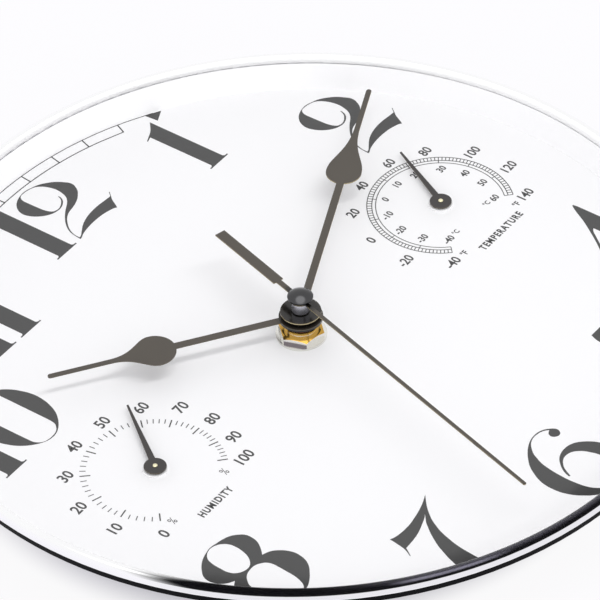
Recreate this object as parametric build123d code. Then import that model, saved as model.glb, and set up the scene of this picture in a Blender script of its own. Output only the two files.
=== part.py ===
from build123d import *
from math import atan2, cos, degrees, hypot, pi, radians, sin, sqrt
import os

os.makedirs("parts", exist_ok=True)

# Round wall clock with a thermometer and a hygrometer in its dial, lying face up on its back.
# Millimetres. X points to 3 o'clock, Y to 12 o'clock and Z out of the dial.
# The origin is the middle of the flat back face.

# Case
bezel_radius = 127.0
lip_radius = 2.1
lip_height = 8.5
bezel_seat_height = 7.4
bezel_overhang = 0.6
case_taper = 0.2
case_waist_height = 4.9
flank_inset = 30.0
case_wall = 1.8
case_top_wall = 2.05
ledge_width = 6.5
ledge_thickness = 2.0
flange_thickness = 3.2
cover_ledge = 6.0
snap_depth = 0.3
snap_clearance = 0.15

# Dial
dial_thickness = 0.8
dial_inset = 7.1
dial_clearance = 0.1
wall_ring_foot = 0.3
wall_ring_top_width = 0.2
wall_ring_clearance = 0.15
dial_radius = bezel_radius - dial_inset

# Back cover and hanger
back_rim_width = 8.2
cover_thickness = 2.0
cover_clearance = 0.15
opening_margin = 4.0
opening_corner = 4.0
cover_screw_count = 6
cover_screw_inset = 3.0
cover_screw_radius = 1.25
cover_screw_head_radius = 2.4
cover_screw_length = 7.0
screw_boss_radius = 3.2
screw_hole_clearance = 0.15
vent_count = 5
vent_pitch = 6.0
vent_width = 3.0
vent_length = 24.0
vent_inset = 13.0
hanger_width = 40.0
hanger_height = 28.0
hanger_thickness = 1.2
hanger_inset = 28.0
hanger_corner = 3.0
keyhole_radius = 4.6
keyhole_drop = 5.0
keyhole_slot_radius = 2.1
keyhole_slot_length = 10.0
keyhole_relief = 1.4
rivet_radius = 1.5
rivet_head_radius = 2.6
rivet_head_height = 0.9
rivet_inset = 5.0

# Movement case
movement_wall = 1.4
back_space = 3.6
movement_corner = 3.0
case_half_depth = 8.0
seal_thickness = 0.8
seal_radius = 9.0
bay_wall_y = -11.2
bay_wall = 1.0
contact_room = 1.5
bay_end_gap = 0.5
coil_room = 4.0

# Fixings at the middle of the dial
bush_radius = 4.0
bush_bore = 3.0
bush_height = 5.0
bush_flange_radius = 6.5
bush_flange_thickness = 1.0
thread_pitch = 0.75
thread_depth = 0.35
bush_hole_clearance = 0.1
washer_radius = 8.05
washer_thickness = 0.75
nut_across_flats = 13.0
nut_height = 2.15
nut_collar_radius = 5.4
nut_collar_height = 1.4

# Running fits
running_fit = 0.07
arbor_radius = 0.83
minute_pipe_wall = 0.98
hour_pipe_wall = 0.98
stud_radius = 0.5
rotor_stud_radius = 0.4
motion_stud_radius = 0.6
knob_shaft_radius = 1.2

# Gear teeth
addendum = 0.8
dedendum = 1.2
tooth_root_share = 0.26
tooth_tip_share = 0.11
small_pinion_teeth = 8
rotor_wheel_teeth = 60
second_wheel_teeth = 32
third_wheel_teeth = 60
centre_wheel_teeth = 64
minute_pinion_teeth = 12
motion_wheel_teeth = 36
motion_pinion_teeth = 10
hour_wheel_teeth = 40
knob_pinion_teeth = 12
rotor_distance = 9.52
intermediate_distance = 10.0
third_distance = 10.2
motion_distance = 8.4
intermediate_bearing = radians(150)
rotor_bearing = radians(100)
third_bearing = radians(60)
motion_bearing = radians(-20)
knob_bearing = radians(-35)
wheel_thickness = 0.6

# Steps in height from the floor of the movement to each wheel in turn
second_wheel_lift = 1.6
rotor_wheel_step = 2.2
third_wheel_step = 1.6
centre_wheel_step = 1.8
minute_pinion_step = 1.2
motion_wheel_step = 0.4
hour_wheel_step = 1.6
train_headroom = 1.2
rotor_wheel_lift = second_wheel_lift + rotor_wheel_step
third_wheel_lift = rotor_wheel_lift + third_wheel_step
centre_wheel_lift = third_wheel_lift + centre_wheel_step
minute_pinion_lift = centre_wheel_lift + minute_pinion_step
motion_wheel_lift = minute_pinion_lift + motion_wheel_step
hour_wheel_lift = motion_wheel_lift + hour_wheel_step
rotor_magnet_lift = 0.8
stator_lift = 1.2

# Motor
rotor_magnet_radius = 2.6
rotor_magnet_height = 1.6
stator_hole_radius = 3.2
stator_thickness = 0.8
stator_head_radius = 5.0
stator_arm_width = 4.4
stator_bar_width = 4.0
stator_bar_offset = 2.0
stator_arm_offset = 13.5
coil_offset = 8.22
coil_half_length = 10.0
core_half_length = 15.0
core_width = 2.0
core_thickness = 0.8
bobbin_wall = 0.6
winding_width = 5.4
winding_height = 4.4
flange_width = 6.0
flange_height = 4.7
bobbin_flange = 1.0

# Circuit
board_width = 10.6
board_edge_gap = 0.4
board_end_gap = 1.6
board_knob_gap = 3.5
post_inset = 3.5
post_side_inset = 2.2
post_radius = 1.2
board_thickness = 0.8
board_lift = 7.0
crystal_radius = 1.0
crystal_length = 6.0
crystal_inset = 3.0
chip_radius = 2.6
chip_height = 1.0
chip_inset_x = 4.0
chip_inset_y = 7.0

# Battery
battery_radius = 7.1
battery_length = 50.2
nub_radius = 2.7
nub_length = 1.2
battery_clearance = 0.1
contact_thickness = 0.4
contact_width = 8.0
contact_height = 9.0

# Setting knob
knob_radius = 4.5
knob_height = 2.4
knob_gap = 0.4
knob_boss_radius = 2.2
knob_boss_height = 3.0

# Hour hand
hour_boss_radius = 6.9
hour_boss_bottom = 6.8
hour_boss_height = 0.6
hand_thickness = 0.4
hand_hole_clearance = 0.35
hour_tip_inset = 38.1
hour_bar_length = 20.1
hour_bulb_length = 21.0
hour_stem_width = 2.5
hour_bulb_half_width = 6.8
hour_bar_width = 1.7
hour_bearing = radians(144.7)

# Minute hand
minute_plate_height = 9.4
minute_eye_radius = 6.4
minute_tip_inset = 10.5
minute_bar_length = 19.4
minute_bulb_length = 28.2
minute_stem_width = 2.45
minute_bulb_half_width = 5.7
minute_bar_width = 1.7
minute_bearing = radians(24.5)
minute_shoulder = 0.3

# Second hand
second_tube_radius = 2.76
second_tube_bottom = 10.2
second_plate_height = 14.2
second_eye_radius = 3.3
second_tip_inset = 11.3
second_root_width = 1.35
second_tip_width = 1.1
tail_neck_width = 1.8
tail_neck_length = 11.0
tail_width = 3.6
tail_length = 40.8
second_bearing = radians(-105.7)
cap_radius = 4.05
cap_neck_height = 0.7
cap_rim_height = 0.5
cap_height = 1.9

# Thermometer and hygrometer
gauge_inset = 44.9
gauge_radius = 21.0
gauge_depth = 9.0
gauge_wall = 1.2
gauge_cap_thickness = 1.2
gauge_cap_clearance = 0.1
gauge_vent_radius = 2.4
gauge_vent_circle = 12.0
gauge_vent_count = 6
nose_radius = 2.6
nose_height = 0.8
nose_hole_clearance = 0.1
gauge_arbor_radius = 0.8
arbor_head_height = 0.4
gauge_fit = 0.06
collet_radius = 2.4
collet_height = 3.8
collar_radius = 3.8
pointer_lift = 1.3
pointer_thickness = 0.4
pointer_hub_radius = 3.5
pointer_root_width = 2.2
pointer_tip_width = 0.6
thermometer_pointer_length = 27.5
hygrometer_pointer_length = 29.0
thermometer_bearing = radians(63.0)
hygrometer_bearing = radians(54.2)
coil_gap = 0.35
coil_pitch = 2.2
coil_strip = 0.4
coil_half_turns = 11
anchor_size = 2.2

# What follows from the sizes above
case_seat_radius = bezel_radius - bezel_overhang
case_waist_radius = case_seat_radius - case_taper
back_face_radius = case_waist_radius - flank_inset
wall_ring_outer = bezel_radius - 2 * lip_radius - wall_ring_clearance
wall_ring_top_radius = wall_ring_outer - wall_ring_top_width
cover_radius = back_face_radius - back_rim_width
flange_inner_radius = cover_radius - cover_ledge
cover_screw_circle = cover_radius - cover_screw_inset
hanger_y = cover_radius - hanger_inset
train_floor = back_space + knob_height + knob_gap + movement_wall
train_roof = train_floor + hour_wheel_lift + wheel_thickness + bush_flange_thickness + train_headroom
movement_bottom = train_floor - movement_wall
movement_top = train_roof + movement_wall
case_joint = movement_top - case_half_depth
dial_back = movement_top + seal_thickness
dial_top = dial_back + dial_thickness
gauge_offset = dial_radius - gauge_inset
vent_middle = gauge_offset - vent_inset
hour_tip = dial_radius - hour_tip_inset
minute_tip = dial_radius - minute_tip_inset
second_tip = dial_radius - second_tip_inset


def disc(radius, low, high, x=0.0, y=0.0):
    return Pos(x, y, low) * Cylinder(radius, high - low, align=(Align.CENTER, Align.CENTER, Align.MIN))


def tube(outer, inner, low, high, x=0.0, y=0.0):
    return disc(outer, low, high, x, y) - disc(inner, low - 1, high + 1, x, y)


def plate(sketch, low, high):
    return extrude(Pos(0, 0, low) * sketch, amount=high - low)


def block(x0, x1, y0, y1, z0, z1):
    return Pos(x0, y0, z0) * Box(x1 - x0, y1 - y0, z1 - z0, align=(Align.MIN, Align.MIN, Align.MIN))


def turned(points):
    outline = Polyline([(radius, 0, height) for radius, height in points], close=True)
    return revolve(make_face(outline), axis=Axis.Z)


def polar(distance, bearing, start=(0.0, 0.0)):
    return (start[0] + distance * cos(bearing), start[1] + distance * sin(bearing))


def save(name, shape):
    solids = list(shape.solids())
    whole = solids[0] if len(solids) == 1 else Compound(children=solids)
    export_step(whole, os.path.join("parts", name + ".step"))


# Gears. A phase is the bearing of the middle of one tooth.
def gear(teeth, module, phase, low, high, place=(0.0, 0.0), bore=0.0):
    pitch_radius = teeth * module / 2
    step = 2 * pi / teeth
    root = pitch_radius - dedendum * module
    tip = pitch_radius + addendum * module
    corners = ((root, -tooth_root_share), (tip, -tooth_tip_share), (tip, tooth_tip_share), (root, tooth_root_share))
    points = []
    for k in range(teeth):
        for radius, share in corners:
            points.append(polar(radius, phase + (k + share) * step))
    body = extrude(Pos(place[0], place[1], low) * make_face(Polyline(points, close=True)), amount=high - low)
    return body - disc(bore, low - 1, high + 1, *place) if bore else body


def meshed(teeth, phase, other_teeth, bearing):
    # phase of the other gear, which lies in this bearing, with its teeth in this gear's gaps
    offset = (bearing - phase) * teeth / (2 * pi)
    return bearing + pi - (0.5 - offset) * 2 * pi / other_teeth


def pair_module(teeth, other_teeth, distance):
    return 2 * distance / (teeth + other_teeth)


rotor_module = pair_module(small_pinion_teeth, rotor_wheel_teeth, rotor_distance)
second_module = pair_module(small_pinion_teeth, second_wheel_teeth, intermediate_distance)
third_module = pair_module(small_pinion_teeth, third_wheel_teeth, third_distance)
centre_module = pair_module(small_pinion_teeth, centre_wheel_teeth, third_distance)
motion_module = pair_module(minute_pinion_teeth, motion_wheel_teeth, motion_distance)
hour_module = pair_module(motion_pinion_teeth, hour_wheel_teeth, motion_distance)
knob_distance = (motion_wheel_teeth + knob_pinion_teeth) * motion_module / 2
intermediate_place = polar(intermediate_distance, intermediate_bearing)
rotor_place = polar(rotor_distance, rotor_bearing, intermediate_place)
third_place = polar(third_distance, third_bearing)
motion_place = polar(motion_distance, motion_bearing)
knob_place = polar(knob_distance, knob_bearing, motion_place)

# Room for the train, motor and battery inside the movement case
coil_y = rotor_place[1] + coil_offset
half_inner = battery_length / 2 + contact_room
bay_low = bay_wall_y - bay_wall
battery_y = bay_low - battery_clearance - battery_radius
inner_low_y = battery_y - battery_radius - battery_clearance
inner_high_y = coil_y + coil_room
case_width = 2 * (half_inner + movement_wall)
case_length = inner_high_y - inner_low_y + 2 * movement_wall
case_middle_y = (inner_high_y + inner_low_y) / 2
board_x = half_inner - board_edge_gap
board_low_x = board_x - board_width
board_y = inner_high_y - board_end_gap
board_low_y = knob_place[1] + knob_shaft_radius + board_knob_gap

minute_bore = arbor_radius + running_fit
minute_pipe_radius = minute_bore + minute_pipe_wall
hour_bore = minute_pipe_radius + running_fit
hour_pipe_radius = bush_bore - running_fit

hour_plate_low = dial_top + hour_boss_bottom + hour_boss_height
minute_plate_low = dial_top + minute_plate_height
second_plate_low = dial_top + second_plate_height
second_plate_high = second_plate_low + hand_thickness


# Case shell, bezel, ring between bezel and dial, and dial
lip_middle = bezel_radius - lip_radius
lip_z = dial_top + lip_height
seat_z = dial_top + bezel_seat_height
lip_half = sqrt(lip_radius**2 - (lip_z - seat_z) ** 2)
waist_z = dial_top + case_waist_height
recess_radius = dial_radius + dial_clearance
flank_slope = (case_waist_radius - back_face_radius) / waist_z
flank_run = sqrt(1 + flank_slope**2)
case_bore = case_seat_radius - case_top_wall


def flank(height):
    return back_face_radius + height * flank_slope


bore_start = dial_top + (case_bore - recess_radius)
ledge_bottom = dial_back - ledge_thickness
lower_wall = case_wall * flank_run
groove_z = (bore_start + seat_z) / 2 - 0.2
cover_recess = cover_radius + cover_clearance

case_shell = turned([
    (cover_recess, 0), (back_face_radius, 0), (case_waist_radius, waist_z), (case_seat_radius, seat_z),
    (case_bore, seat_z), (case_bore, groove_z + 2 * snap_depth), (case_bore + snap_depth, groove_z),
    (case_bore, groove_z - 2 * snap_depth), (case_bore, bore_start), (recess_radius, dial_top),
    (recess_radius, dial_back), (recess_radius - ledge_width, dial_back),
    (recess_radius - ledge_width, ledge_bottom), (flank(ledge_bottom) - lower_wall, ledge_bottom - 1),
    (flank(flange_thickness) - lower_wall, flange_thickness), (flange_inner_radius, flange_thickness),
    (flange_inner_radius, cover_thickness), (cover_recess, cover_thickness),
])
screw_tip = cover_screw_length + 0.6
boss_top = screw_tip + 1.4
screw_places = []
for k in range(cover_screw_count):
    screw_places.append(polar(cover_screw_circle, radians(30 + 360 * k / cover_screw_count)))
for x, y in screw_places:
    case_shell += disc(screw_boss_radius, cover_thickness, boss_top, x, y)
    case_shell -= disc(cover_screw_radius, cover_thickness - 1, screw_tip, x, y)
save("case_shell", case_shell)

skirt_inner = lip_middle - lip_half
skirt_outer = case_bore - snap_clearance
skirt_low = bore_start + 0.2
lip_edge = ThreePointArc(
    (lip_middle + lip_half, 0, seat_z), (lip_middle, 0, lip_z + lip_radius), (lip_middle - lip_half, 0, seat_z)
)
skirt_edge = Polyline([
    (skirt_inner, 0, seat_z), (skirt_inner, 0, skirt_low), (skirt_outer, 0, skirt_low),
    (skirt_outer, 0, groove_z - snap_depth), (skirt_outer + snap_depth, 0, groove_z),
    (skirt_outer, 0, groove_z + snap_depth), (skirt_outer, 0, seat_z), (lip_middle + lip_half, 0, seat_z),
])
save("bezel_ring", revolve(make_face([lip_edge, skirt_edge]), axis=Axis.Z))

ring_turn_z = dial_top + wall_ring_outer - dial_radius
save("wall_ring", turned([
    (dial_radius - wall_ring_foot, dial_top), (dial_radius, dial_top), (wall_ring_outer, ring_turn_z),
    (wall_ring_outer, lip_z), (wall_ring_top_radius, lip_z),
]))

dial_hole = bush_radius + bush_hole_clearance
nose_hole = nose_radius + nose_hole_clearance
dial_plate = tube(dial_radius, dial_hole, dial_back, dial_top)
for side in (-1, 1):
    dial_plate -= disc(nose_hole, dial_back - 1, dial_top + 1, side * gauge_offset)
save("dial_plate", dial_plate)


# Back cover with its screws, and the hanger plate riveted inside it
opening = Pos(0, case_middle_y) * RectangleRounded(
    case_width + 2 * opening_margin, case_length + 2 * opening_margin, opening_corner
)
back_cover = disc(cover_radius, 0, cover_thickness) - plate(opening, -1, cover_thickness + 1)
head_depth = cover_screw_head_radius - cover_screw_radius
screws = []
for x, y in screw_places:
    hole = disc(cover_screw_radius + screw_hole_clearance, -1, cover_thickness + 1, x, y)
    sink = Pos(x, y, head_depth / 2) * Cone(
        cover_screw_head_radius + screw_hole_clearance, cover_screw_radius + screw_hole_clearance, head_depth
    )
    back_cover -= hole + sink
    head = Pos(x, y, head_depth / 2) * Cone(cover_screw_head_radius, cover_screw_radius, head_depth)
    shank = disc(cover_screw_radius, head_depth, cover_screw_length, x, y)
    slot = Pos(x, y, 0) * Box(2 * cover_screw_head_radius + 1, 0.6, head_depth)
    screws.append(head + shank - slot)
for side in (-1, 1):
    for k in range(vent_count):
        x = side * (vent_middle + (k - (vent_count - 1) / 2) * vent_pitch)
        vent = Pos(x, 0) * SlotOverall(vent_length, vent_width, rotation=90)
        back_cover -= plate(vent, -1, cover_thickness + 1)
keyhole_y = hanger_y - keyhole_drop
relief_middle = keyhole_y + keyhole_slot_length / 2
relief = Pos(0, relief_middle) * SlotCenterToCenter(
    keyhole_slot_length, 2 * (keyhole_radius + keyhole_relief), rotation=90
)
back_cover -= plate(relief, -1, cover_thickness + 1)
hanger_top = cover_thickness + hanger_thickness
hanger = Pos(0, hanger_y) * RectangleRounded(hanger_width, hanger_height, hanger_corner)
hanger -= Pos(0, keyhole_y) * Circle(keyhole_radius)
hanger -= Pos(0, relief_middle) * SlotCenterToCenter(keyhole_slot_length, 2 * keyhole_slot_radius, rotation=90)
hanger_plate = plate(hanger, cover_thickness, hanger_top)
rivets = []
for side in (-1, 1):
    x = side * (hanger_width / 2 - rivet_inset)
    hole = disc(rivet_radius, -1, hanger_top + 1, x, hanger_y)
    sink = disc(rivet_head_radius, -1, rivet_head_height, x, hanger_y)
    back_cover -= hole + sink
    hanger_plate -= hole
    rivet = disc(rivet_radius, rivet_head_height, hanger_top, x, hanger_y)
    rivet += disc(rivet_head_radius, 0, rivet_head_height, x, hanger_y)
    rivet += disc(rivet_head_radius, hanger_top, hanger_top + rivet_head_height, x, hanger_y)
    rivets.append(rivet)
save("back_cover", back_cover)
save("back_cover_screws", Compound(children=screws))
save("hanger_plate", hanger_plate)
save("hanger_rivets", Compound(children=rivets))


# Movement case in two halves, the rear one with the battery bay
case_place = Pos(0, case_middle_y)
outer_shape = case_place * RectangleRounded(case_width, case_length, movement_corner)
inner_shape = case_place * RectangleRounded(
    2 * half_inner, case_length - 2 * movement_wall, movement_corner - movement_wall
)
front_case = plate(outer_shape, case_joint, movement_top) - plate(inner_shape, case_joint - 1, train_roof)
front_case -= disc(bush_radius, train_roof - 1, movement_top + 1)
motion_stud_low = train_floor + minute_pinion_lift
front_case += disc(1.6, train_roof - 1.2, train_roof, *motion_place)
front_case -= disc(motion_stud_radius, train_roof - 1.2, train_roof + 0.4, *motion_place)
save("movement_front_case", front_case)
motion_stud = disc(motion_stud_radius, motion_stud_low, train_roof + 0.4, *motion_place)
motion_stud += disc(motion_stud_radius + 0.4, motion_stud_low - 0.3, motion_stud_low, *motion_place)
save("motion_stud", motion_stud)

rear_case = plate(outer_shape, movement_bottom, case_joint) - plate(inner_shape, train_floor, case_joint + 1)
bay_half = battery_length / 2 + bay_end_gap
rear_case -= block(-bay_half, bay_half, inner_low_y, bay_low, movement_bottom - 1, train_floor + 1)
rear_case += block(-half_inner, half_inner, bay_low, bay_wall_y, train_floor, train_roof)
stator_low = train_floor + stator_lift
stator_high = stator_low + stator_thickness
board_low = train_floor + board_lift
post_x = board_x - post_side_inset
for y in (board_low_y + post_inset, board_y - post_inset):
    rear_case += disc(post_radius, train_floor, board_low, post_x, y)
for side in (-1, 1):
    rear_case += disc(post_radius, train_floor, stator_low, side * stator_arm_offset, coil_y)
stud_places = (
    (rotor_place, rotor_stud_radius, rotor_wheel_lift + 1.4),
    (intermediate_place, stud_radius, rotor_wheel_lift + wheel_thickness + 0.3),
    (third_place, stud_radius, minute_pinion_lift),
)
studs = []
for place, radius, lift in stud_places:
    rear_case += disc(radius + 0.7, train_floor, train_floor + 0.5, *place)
    rear_case -= disc(radius, train_floor - 0.8, train_floor + 0.6, *place)
    studs.append(disc(radius, train_floor - 0.8, train_floor + lift, *place))
rear_case += disc(arbor_radius + 1.2, train_floor, train_floor + 0.8)
rear_case -= disc(arbor_radius + running_fit, train_floor - 0.9, train_floor + 1)
rear_case += disc(knob_boss_radius, train_floor, train_floor + knob_boss_height, *knob_place)
rear_case -= disc(knob_shaft_radius + running_fit, movement_bottom - 1, case_joint, *knob_place)
save("movement_rear_case", rear_case)
save("train_studs", Compound(children=studs))


# Battery lying along X, with a folded contact at each end
battery_z = train_roof - battery_clearance - battery_radius
lying = Rot(0, 90, 0)
battery_x = battery_length / 2
can = Pos(-nub_length / 2, battery_y, battery_z) * lying * Cylinder(battery_radius, battery_length - nub_length)
can = fillet(can.edges().filter_by(GeomType.CIRCLE), 0.6)
nub = Pos(battery_x - nub_length / 2, battery_y, battery_z) * lying * Cylinder(nub_radius, nub_length)
save("battery", can + nub)
for side, name in ((1, "positive"), (-1, "negative")):
    near = battery_x
    far = half_inner
    leaf_low = battery_z - contact_height / 2
    leaf_high = battery_z + contact_height / 2
    fold = [
        (near, leaf_low), (near + contact_thickness, leaf_low),
        (near + contact_thickness, leaf_high - contact_thickness),
        (far - contact_thickness, leaf_high - contact_thickness), (far - contact_thickness, leaf_low),
        (far, leaf_low), (far, leaf_high), (near, leaf_high),
    ]
    face = make_face(Polyline([(side * x, battery_y - contact_width / 2, z) for x, z in fold], close=True))
    save("battery_contact_" + name, extrude(face, amount=contact_width, dir=(0, 1, 0)))


# Stepping motor: stator plate, coil with its core, rotor
rotor_x, rotor_y = rotor_place
stator = Pos(rotor_x, rotor_y) * Circle(stator_head_radius)
arm_top = coil_y + stator_bar_offset
for side in (-1, 1):
    arm_place = Pos(side * stator_arm_offset, (rotor_y + arm_top) / 2)
    stator += arm_place * Rectangle(stator_arm_width, arm_top - rotor_y)
bar_low = rotor_x
bar_high = stator_arm_offset + stator_arm_width / 2
stator += Pos((bar_low + bar_high) / 2, rotor_y + stator_bar_offset) * Rectangle(
    bar_high - bar_low, stator_bar_width
)
stator -= Pos(rotor_x, rotor_y) * Circle(stator_hole_radius)
save("stator", plate(stator, stator_low, stator_high))
coil_z = stator_high + core_thickness / 2
save("coil_core", Pos(0, coil_y, coil_z) * Box(2 * core_half_length, core_width, core_thickness))
core_space = Pos(0, coil_y, coil_z) * Box(2 * core_half_length, core_width, core_thickness)
tube_width = core_width + 2 * bobbin_wall
tube_height = core_thickness + 2 * bobbin_wall
bobbin = Pos(0, coil_y, coil_z) * Box(2 * coil_half_length, tube_width, tube_height)
for side in (-1, 1):
    x = side * (coil_half_length + bobbin_flange / 2)
    bobbin += Pos(x, coil_y, coil_z) * Box(bobbin_flange, flange_width, flange_height)
save("coil_bobbin", bobbin - core_space)
wound = Rectangle(winding_height, winding_width)
wound = fillet(wound.vertices(), 1.2) - Rectangle(tube_height, tube_width)
winding = Rot(0, 90, 0) * extrude(wound, amount=coil_half_length, both=True)
save("coil_winding", Pos(0, coil_y, coil_z) * winding)

rotor_bore = rotor_stud_radius + gauge_fit
magnet_low = train_floor + rotor_magnet_lift
magnet_high = magnet_low + rotor_magnet_height
rotor_wheel_low = train_floor + rotor_wheel_lift
rotor_wheel_high = rotor_wheel_low + wheel_thickness
save("rotor_magnet", tube(rotor_magnet_radius, rotor_bore, magnet_low, magnet_high, *rotor_place))
intermediate_phase = 0.0
rotor_phase = meshed(rotor_wheel_teeth, intermediate_phase, small_pinion_teeth, rotor_bearing)
rotor_pinion = gear(
    small_pinion_teeth, rotor_module, rotor_phase, rotor_wheel_low - 0.4, rotor_wheel_high + 0.4,
    rotor_place, rotor_bore,
)
rotor_pinion += tube(1.2, rotor_bore, magnet_high, rotor_wheel_low - 0.4, *rotor_place)
save("rotor_pinion", rotor_pinion)


# Going train: intermediate, second, third and centre wheels
second_low = train_floor + second_wheel_lift
second_high = second_low + wheel_thickness
stud_bore = stud_radius + gauge_fit
intermediate_pinion_phase = 0.0
intermediate = gear(
    rotor_wheel_teeth, rotor_module, intermediate_phase, rotor_wheel_low, rotor_wheel_high, intermediate_place
)
intermediate += gear(
    small_pinion_teeth, second_module, intermediate_pinion_phase, second_low - 0.3, rotor_wheel_low,
    intermediate_place,
)
intermediate -= disc(stud_bore, train_floor, rotor_wheel_high + 1, *intermediate_place)
save("intermediate_wheel", intermediate)

third_low = train_floor + third_wheel_lift
third_high = third_low + wheel_thickness
second_phase = meshed(
    small_pinion_teeth, intermediate_pinion_phase, second_wheel_teeth, intermediate_bearing + pi
)
second_wheel = gear(second_wheel_teeth, second_module, second_phase, second_low, second_high)
second_pinion_phase = 0.0
second_wheel += disc(1.3, second_high, third_low - 0.2)
second_wheel += gear(small_pinion_teeth, third_module, second_pinion_phase, third_low - 0.2, third_high + 0.3)
second_wheel -= disc(arbor_radius, second_low - 1, third_high + 1)
save("second_wheel", second_wheel)
save("second_arbor", disc(arbor_radius, train_floor - 0.8, second_plate_low))

centre_low = train_floor + centre_wheel_lift
centre_high = centre_low + wheel_thickness
third_phase = meshed(small_pinion_teeth, second_pinion_phase, third_wheel_teeth, third_bearing)
third_wheel = gear(third_wheel_teeth, third_module, third_phase, third_low, third_high, third_place)
third_pinion_phase = 0.0
third_wheel += gear(
    small_pinion_teeth, centre_module, third_pinion_phase, third_high, centre_high + 0.4, third_place
)
third_wheel -= disc(stud_bore, train_floor, centre_high + 1, *third_place)
save("third_wheel", third_wheel)

centre_phase = meshed(small_pinion_teeth, third_pinion_phase, centre_wheel_teeth, third_bearing + pi)
clutch_bore = minute_pipe_radius + running_fit
save("centre_wheel", gear(
    centre_wheel_teeth, centre_module, centre_phase, centre_low, centre_high, bore=clutch_bore
))


# Motion work: minute pipe, motion wheel, hour wheel and setting knob
minute_low = train_floor + minute_pinion_lift
motion_low = train_floor + motion_wheel_lift
motion_high = motion_low + wheel_thickness
hour_low = train_floor + hour_wheel_lift
hour_high = hour_low + wheel_thickness
pipe_low = third_high + 0.6
minute_phase = 0.0
minute_pipe = disc(minute_pipe_radius, pipe_low, minute_plate_low)
minute_pipe += disc(minute_pipe_radius - minute_shoulder, minute_plate_low, minute_plate_low + hand_thickness)
minute_pipe += gear(minute_pinion_teeth, motion_module, minute_phase, minute_low, motion_high + 0.3)
minute_pipe -= disc(minute_bore, pipe_low - 1, minute_plate_low + 2)
save("minute_pipe", minute_pipe)

motion_phase = meshed(minute_pinion_teeth, minute_phase, motion_wheel_teeth, motion_bearing)
motion_pinion_phase = 0.0
motion_wheel = gear(motion_wheel_teeth, motion_module, motion_phase, motion_low, motion_high, motion_place)
motion_wheel += gear(
    motion_pinion_teeth, hour_module, motion_pinion_phase, motion_high, hour_high + 0.5, motion_place
)
motion_wheel -= disc(motion_stud_radius + gauge_fit, motion_low - 1, hour_high + 2, *motion_place)
save("motion_wheel", motion_wheel)

hour_phase = meshed(motion_pinion_teeth, motion_pinion_phase, hour_wheel_teeth, motion_bearing + pi)
hour_wheel = gear(hour_wheel_teeth, hour_module, hour_phase, hour_low, hour_high)
hour_wheel += disc(hour_pipe_radius, hour_low, hour_plate_low)
hour_wheel -= disc(hour_bore, hour_low - 1, hour_plate_low + 1)
save("hour_wheel", hour_wheel)

knob_phase = meshed(motion_wheel_teeth, motion_phase, knob_pinion_teeth, knob_bearing)
knob_top = movement_bottom - knob_gap
setting_knob = gear(knob_pinion_teeth, motion_module, knob_phase, motion_low - 0.3, motion_high + 0.3, knob_place)
setting_knob += disc(knob_shaft_radius, knob_top, motion_low, *knob_place)
grip = disc(knob_radius, knob_top - knob_height, knob_top, *knob_place)
for k in range(16):
    notch = polar(knob_radius + 0.25, 2 * pi * k / 16, knob_place)
    grip -= disc(0.6, knob_top - knob_height - 1, knob_top + 1, *notch)
save("setting_knob", setting_knob + grip)


# Threaded bush with its seal, washer and nut
crest_count = int((bush_height + dial_top - movement_top) / thread_pitch)
bush_top = dial_top + bush_height
profile = [(bush_bore, train_roof - bush_flange_thickness), (bush_flange_radius, train_roof - bush_flange_thickness)]
profile += [(bush_flange_radius, train_roof), (bush_radius, train_roof)]
thread_start = bush_top - crest_count * thread_pitch
for k in range(crest_count):
    low = thread_start + k * thread_pitch
    profile += [(bush_radius, low + 0.1), (bush_radius - thread_depth, low + thread_pitch / 2)]
profile += [(bush_radius, bush_top - 0.1), (bush_bore, bush_top)]
save("threaded_bush", turned(profile))
save("rubber_seal", tube(seal_radius, bush_radius + bush_hole_clearance, movement_top, dial_back))
washer_top = dial_top + washer_thickness
save("dial_washer", tube(washer_radius, bush_radius + bush_hole_clearance, dial_top, washer_top))
nut_corner = nut_across_flats / sqrt(3)
nut_top = washer_top + nut_height
hexagon = RegularPolygon(nut_corner, 6, rotation=49)
hex_nut = plate(hexagon, washer_top, nut_top)
chamfer_drop = (nut_corner - nut_across_flats / 2) * 0.7
hex_nut &= turned([
    (0, washer_top), (nut_corner + 0.1, washer_top), (nut_corner + 0.1, nut_top - chamfer_drop),
    (nut_across_flats / 2 - 0.2, nut_top), (0, nut_top),
])
collar_top = nut_top + nut_collar_height
hex_nut += turned([
    (0, nut_top - 0.2), (nut_collar_radius, nut_top - 0.2), (nut_collar_radius, collar_top - 0.3),
    (nut_collar_radius - 0.3, collar_top), (0, collar_top),
])
save("hex_nut", hex_nut - disc(bush_radius, washer_top - 1, collar_top + 1))


# Hands, drawn along X and turned to ten past ten
def bar_end(tip, width):
    # round end of a thin bar, from its lower side over the tip to its upper side
    half = width / 2
    return ThreePointArc((tip - half, -half), (tip, 0), (tip - half, half))


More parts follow.
